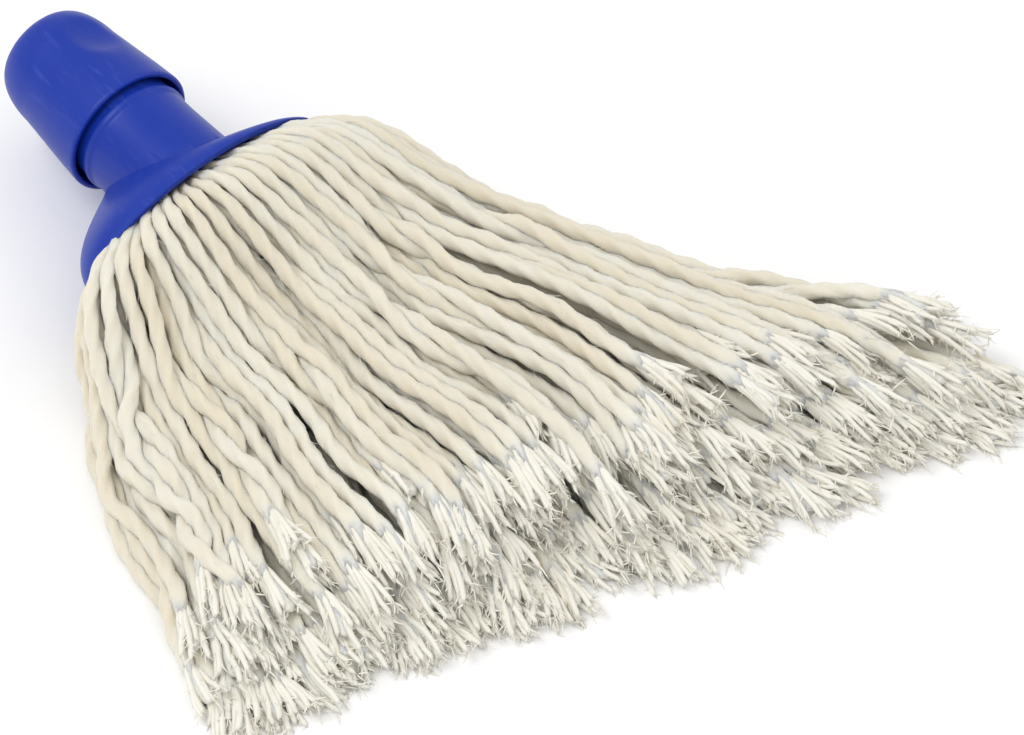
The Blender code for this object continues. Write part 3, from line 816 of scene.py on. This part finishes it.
owners = np.repeat(np.arange(strand_count), PATH_POINTS)
girth = np.broadcast_to(mix(ROOT_R, STRAND_R, ease(along / 0.2)), along.shape)
flat_girth = girth.ravel() * SOFTNESS
rest_gap = np.linalg.norm(np.diff(home, axis=1), axis=2)
places = home.copy()
for settle_round in range(SETTLE_ROUNDS):
    places += (home - places) * HOME_PULL
    places[..., 2] -= SINK * free
    for start in (0, 1):
        gap = places[:, start + 1::2] - places[:, start:-1:2]
        size = np.linalg.norm(gap, axis=2)
        rest = rest_gap[:, start::2][:, :gap.shape[1]]
        gap = gap[:, :rest.shape[1]] * (0.5 * (1.0 - rest / size[:, :rest.shape[1]]))[..., None]
        count = gap.shape[1]
        places[:, start:start + 2 * count:2] += gap
        places[:, start + 1:start + 1 + 2 * count:2] -= gap
    flat = places.reshape(-1, 3)
    if settle_round % PAIR_ROUNDS == 0:
        first, second = close_pairs(flat, owners)
        apart = flat_girth[first] + flat_girth[second]
    gap = flat[first] - flat[second]
    size = np.maximum(np.linalg.norm(gap, axis=1), 0.01)
    push = gap * (0.5 * 0.45 * np.maximum(apart - size, 0.0) / size)[:, None]
    for axis in range(3):
        flat[:, axis] += np.bincount(first, push[:, axis], len(flat))
        flat[:, axis] -= np.bincount(second, push[:, axis], len(flat))
    flat[:, 2] = np.maximum(flat[:, 2], flat_girth)
    keep_in_hood(flat, flat_girth + HOOD_ROOM)
    middle = 0.5 * (places[:, 2:] + places[:, :-2])
    places[:, 1:-1] += STIFFNESS * (middle - places[:, 1:-1])
pressed = 2 * STRAND_R - np.linalg.norm(flat[first] - flat[second], axis=1)
pressed = pressed[pressed > 0.0]
print(len(pressed), "point pairs are nearer than a strand is thick")
print("on average they are pressed", round(float(pressed.mean()), 2), "mm together")
print("top of the yarn", round(float(flat[:, 2].max()), 1), "mm")


# %% [markdown]
# ## Yarn: from paths to strands
# A strand is a few plies twisted loosely together. A curve does this well: its bevel profile has
# a low lobe for each ply, its tilt turns the profile along the strand, and its radius carries the
# uneven spinning. The curve is then made a mesh, with its poles closed.

# %% Strand curves
STRAND_POINTS = 96
STRAND_SIDES = 12
PLY_LOBES = 3
LOBE_SHARE = 0.15
TWIST_PITCH = 34.0
SWELL_SHARE = 0.07
OPEN_LENGTH = 19.0


def along_path(path, count):
    """The same path through evenly spaced points, on a smooth curve."""
    gaps = np.linalg.norm(np.diff(path, axis=0), axis=1)
    run = np.concatenate([[0.0], np.cumsum(gaps)])
    want = np.linspace(0.0, run[-1], count)
    slopes = np.gradient(path, run, axis=0)
    i = np.clip(np.searchsorted(run, want, "right") - 1, 0, len(run) - 2)
    span = (run[i + 1] - run[i])[:, None]
    t = ((want - run[i]) / (run[i + 1] - run[i]))[:, None]
    smooth = (2 * t ** 3 - 3 * t ** 2 + 1) * path[i] + (-2 * t ** 3 + 3 * t ** 2) * path[i + 1]
    smooth += (t ** 3 - 2 * t ** 2 + t) * span * slopes[i] + (t ** 3 - t ** 2) * span * slopes[i + 1]
    return smooth, want


def lobed_profile():
    data = bpy.data.curves.new("ply_profile", "CURVE")
    data.dimensions = "2D"
    line = data.splines.new("POLY")
    line.points.add(STRAND_SIDES - 1)
    line.use_cyclic_u = True
    for i, point in enumerate(line.points):
        angle = 2 * math.pi * i / STRAND_SIDES
        radius = MM * (1.0 + LOBE_SHARE * math.cos(PLY_LOBES * angle))
        point.co = (radius * math.cos(angle), radius * math.sin(angle), 0.0, 1.0)
    profile = bpy.data.objects.new("ply_profile", data)
    bpy.context.scene.collection.objects.link(profile)
    return profile


def draw_lines(name, lines, radii, tilts, profile, sides, marks):
    """A mesh of tubes along lines (in mm), with each point's radius, tilt, and end and tone marks."""
    data = bpy.data.curves.new(name, "CURVE")
    data.dimensions = "3D"
    if profile is None:
        data.bevel_depth = MM
        data.bevel_resolution = 0
    else:
        data.bevel_mode = "OBJECT"
        data.bevel_object = profile
    for line, radius, tilt in zip(lines, radii, tilts):
        spline = data.splines.new("POLY")
        spline.points.add(len(line) - 1)
        spline.points.foreach_set("co", np.c_[line * MM, np.ones(len(line))].ravel())
        spline.points.foreach_set("radius", radius)
        spline.points.foreach_set("tilt", tilt)
    piece = bpy.data.objects.new(name, data)
    bpy.context.scene.collection.objects.link(piece)
    take(piece)
    bpy.ops.object.convert(target="MESH")
    for mark, values in marks.items():
        attribute = piece.data.attributes.new(mark, "FLOAT", "POINT")
        attribute.data.foreach_set("value", np.repeat(values, sides).astype(np.float32))
    bpy.ops.object.mode_set(mode="EDIT")
    bpy.ops.mesh.select_all(action="SELECT")
    bpy.ops.mesh.remove_doubles(threshold=0.0005 * MM)
    bpy.ops.object.mode_set(mode="OBJECT")
    return piece


profile = lobed_profile()
tones = dice.uniform(0.0, 1.0, strand_count)
finished = []
for path, tone in zip(places, tones):
    line, run = along_path(path, STRAND_POINTS)
    left = run[-1] - run
    share = run / run[-1]
    radius = np.interp(share, [0.0, 0.12, 0.3, 1.0], [ROOT_R, 2.2, STRAND_R, STRAND_R + 0.1])
    swell = np.sin(run / 5.3 + 6.0 * tone) + 0.6 * np.sin(run / 2.9 + 11.0 * tone)
    radius = radius * (1.0 + SWELL_SHARE * 0.6 * swell)
    radius = radius * mix(0.85, 1.0, ease(left / OPEN_LENGTH))
    radius[0] = radius[-1] = 0.0
    line[:, 2] = np.maximum(line[:, 2], radius * (1.0 + LOBE_SHARE))
    tilt = 2 * math.pi * (run / TWIST_PITCH + tone)
    finished.append({
        "line": line, "run": run, "radius": radius, "tilt": tilt, "share": share, "tone": tone,
    })
print("strand length", round(float(np.mean([s["run"][-1] for s in finished]))), "mm on average")


# %% [markdown]
# ## Yarn: cut and frayed ends
# At the cut end the twist lets go. The plies spread like a worn paintbrush and single fibres
# stand out from them, with a few loose fibres along the whole strand. Each fibre is a four-sided
# tube of a few points, because there are thousands of them.

# %% Frayed ends
PLIES = 12
PLY_POINTS = 8
END_FIBRES = 80
FIBRE_POINTS = 5
BODY_FIBRES = 40


def side_axes(heading):
    """Two directions across a heading."""
    up = np.array([0.0, 0.0, 1.0]) if abs(heading[2]) < 0.9 else np.array([1.0, 0.0, 0.0])
    one = np.cross(heading, up)
    one /= np.linalg.norm(one)
    return one, np.cross(heading, one)


def open_plies(strand):
    """The plies of one cut end, each a line and its radii in mm."""
    left = strand["run"][-1] - strand["run"]
    base = int(np.argmin(np.abs(left - OPEN_LENGTH * 0.95)))
    root, tip = strand["line"][base], strand["line"][-1]
    heading = (tip - root) / np.linalg.norm(tip - root)
    one, two = side_axes(heading)
    t = np.linspace(0.0, 1.0, PLY_POINTS)
    plies = []
    first_turn = dice.uniform(0.0, 2 * math.pi)
    for i in range(PLIES):
        turn = first_turn + 2 * math.pi * i / PLIES + 0.9 * t + dice.normal(0.0, 0.25)
        length = OPEN_LENGTH * dice.uniform(0.85, 1.35)
        flare = dice.uniform(1.4, 5.0)
        out = mix(1.7, 1.7 + flare, t ** 1.5)
        curve = np.interp(t * OPEN_LENGTH, left[base] - left[base:], np.arange(len(left) - base))
        places_on = np.arange(len(left) - base)
        spine = np.stack([np.interp(curve, places_on, strand["line"][base:, a]) for a in range(3)], 1)
        spine = spine + heading * ((length - OPEN_LENGTH) * t)[:, None]
        line = spine + one * (out * np.cos(turn))[:, None] + two * (out * np.sin(turn))[:, None]
        line = line + dice.normal(0.0, 0.25, (PLY_POINTS, 3)) * t[:, None]
        line[:, 2] -= 1.5 * t ** 2
        radius = np.interp(t, [0.0, 0.25, 0.8, 0.97, 1.0], [0.0, 1.15, 1.0, 0.7, 0.0])
        line[:, 2] = np.maximum(line[:, 2], radius + 0.05)
        plies.append((line, radius))
    return plies


def fibre(root, heading, length, width, droop):
    """One loose fibre: it leaves along a heading, wavers and sinks a little."""
    t = np.linspace(0.0, 1.0, FIBRE_POINTS)
    bend = dice.normal(0.0, 0.22, 3)
    line = root + heading * (length * t)[:, None] + bend * (length * t ** 2)[:, None]
    line[:, 2] -= droop * t ** 2
    line[:, 2] = np.maximum(line[:, 2], 0.15)
    radius = np.array([0.0, 1.0, 0.95, 0.7, 0.0]) * width
    return line, radius


def fray(strand):
    """All the fine parts of one strand: plies, fibres at the end, fibres along the body."""
    parts = open_plies(strand)
    plies = list(parts)
    for _ in range(END_FIBRES):
        line, _radius = plies[dice.randint(len(plies))]
        spot = dice.uniform(0.35, 0.98) * (PLY_POINTS - 1)
        i = int(min(spot, PLY_POINTS - 2))
        root = mix(line[i], line[i + 1], spot - i)
        heading = line[i + 1] - line[i]
        heading = heading / (np.linalg.norm(heading) + 1e-6) + dice.normal(0.0, 0.42, 3)
        heading /= np.linalg.norm(heading)
        parts.append(fibre(root, heading, dice.uniform(2.0, 5.5), dice.uniform(0.16, 0.36), 0.6))
    for _ in range(BODY_FIBRES):
        i = dice.randint(8, STRAND_POINTS - 8)
        heading = strand["line"][i + 1] - strand["line"][i]
        heading /= np.linalg.norm(heading)
        one, two = side_axes(heading)
        turn = dice.uniform(0.0, 2 * math.pi)
        out = one * math.cos(turn) + two * math.sin(turn)
        root = strand["line"][i] + out * strand["radius"][i] * 0.9
        lean = heading + out * dice.uniform(0.1, 0.45)
        parts.append(fibre(root, lean / np.linalg.norm(lean), dice.uniform(2.5, 6.0), 0.08, 0.0))
    return parts


# %% [markdown]
# ## Yarn: one piece for each tuft
# The strands of a tuft and their fibres are drawn as two meshes, each with its own finish, and
# joined. The joined piece stands for the frame's plain tuft and rides on the socket.

# %% Build the tufts
tuft_names = sorted(set(strand_tufts))
for tuft_name in tuft_names:
    members = [s for s, owner in zip(finished, strand_tufts) if owner == tuft_name]
    marks = {
        "end": np.concatenate([s["share"] for s in members]),
        "tone": np.concatenate([np.full(STRAND_POINTS, s["tone"]) for s in members]),
    }
    strands = draw_lines(
        tuft_name + "_strands", [s["line"] for s in members], [s["radius"] for s in members],
        [s["tilt"] for s in members], profile, STRAND_SIDES, marks,
    )
    strands.data.materials.append(cotton_strand)
    parts, part_tones = [], []
    for s in members:
        frayed = fray(s)
        parts += frayed
        part_tones += [s["tone"]] * len(frayed)
    counts = [len(line) for line, radius in parts]
    # The fibres are marked as all cut end, so they take the painted paler colour that lifts the shade
    # among them.
    marks = {"end": np.ones(sum(counts)), "tone": np.repeat(part_tones, counts)}
    fibres = draw_lines(
        tuft_name + "_fibres", [line for line, radius in parts], [radius for line, radius in parts],
        [np.zeros(count) for count in counts], None, 4, marks,
    )
    fibres.data.materials.append(cotton_fibre)
    clear_selection()
    fibres.select_set(True)
    strands.select_set(True)
    bpy.context.view_layer.objects.active = strands
    bpy.ops.object.join()
    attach(strands, "socket")
    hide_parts(tuft_name)


# %% [markdown]
# ## Yarn: the folds round the bar
# The middle of the yarn is folded over the bar inside the hood. It is out of sight, so a row of
# short bights above and below the bar is enough.

# %% Folds round the bar
FOLD_STRANDS = 8
FOLD_POINTS = 24
FOLD_R = 1.7


def arch_over_bar(x, low, high, upward):
    """A strand's bight: up from the bar's near side, over it and down again."""
    turn = np.linspace(0.0, math.pi, FOLD_POINTS)
    half_depth = (high[1] - low[1]) / 2 - FOLD_R
    rise = high[2] - low[2] - 2 * FOLD_R
    base = low[2] + FOLD_R if upward else high[2] - FOLD_R
    y = (low[1] + high[1]) / 2 + half_depth * np.cos(turn)
    z = base + (rise if upward else -rise) * np.sin(turn)
    return np.stack([np.full(FOLD_POINTS, x), y, z], axis=1)


fold_radius = np.full(FOLD_POINTS, FOLD_R)
fold_radius[0] = fold_radius[-1] = 0.0
for fold_name in ("yarn_fold_upper", "yarn_fold_lower"):
    low, high = (np.array(corner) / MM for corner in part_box(fold_name))
    columns = np.linspace(low[0] + FOLD_R + 0.3, high[0] - FOLD_R - 0.3, FOLD_STRANDS)
    arches = [arch_over_bar(x, low, high, fold_name.endswith("upper")) for x in columns]
    marks = {"end": np.zeros(FOLD_STRANDS * FOLD_POINTS), "tone": np.full(FOLD_STRANDS * FOLD_POINTS, 0.4)}
    tilt = np.linspace(0.0, 3.0, FOLD_POINTS)
    fold = draw_lines(
        fold_name + "_strands", arches, [fold_radius] * FOLD_STRANDS, [tilt] * FOLD_STRANDS,
        profile, STRAND_SIDES, marks,
    )
    fold.data.materials.append(cotton_strand)
    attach(fold, "socket")
    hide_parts(fold_name)
bpy.data.objects.remove(profile)
yarn_pieces = [o for o in bpy.context.scene.objects if o.name.endswith("_strands")]
print(len(yarn_pieces), "tufts,", sum(triangles(o) for o in yarn_pieces), "triangles")
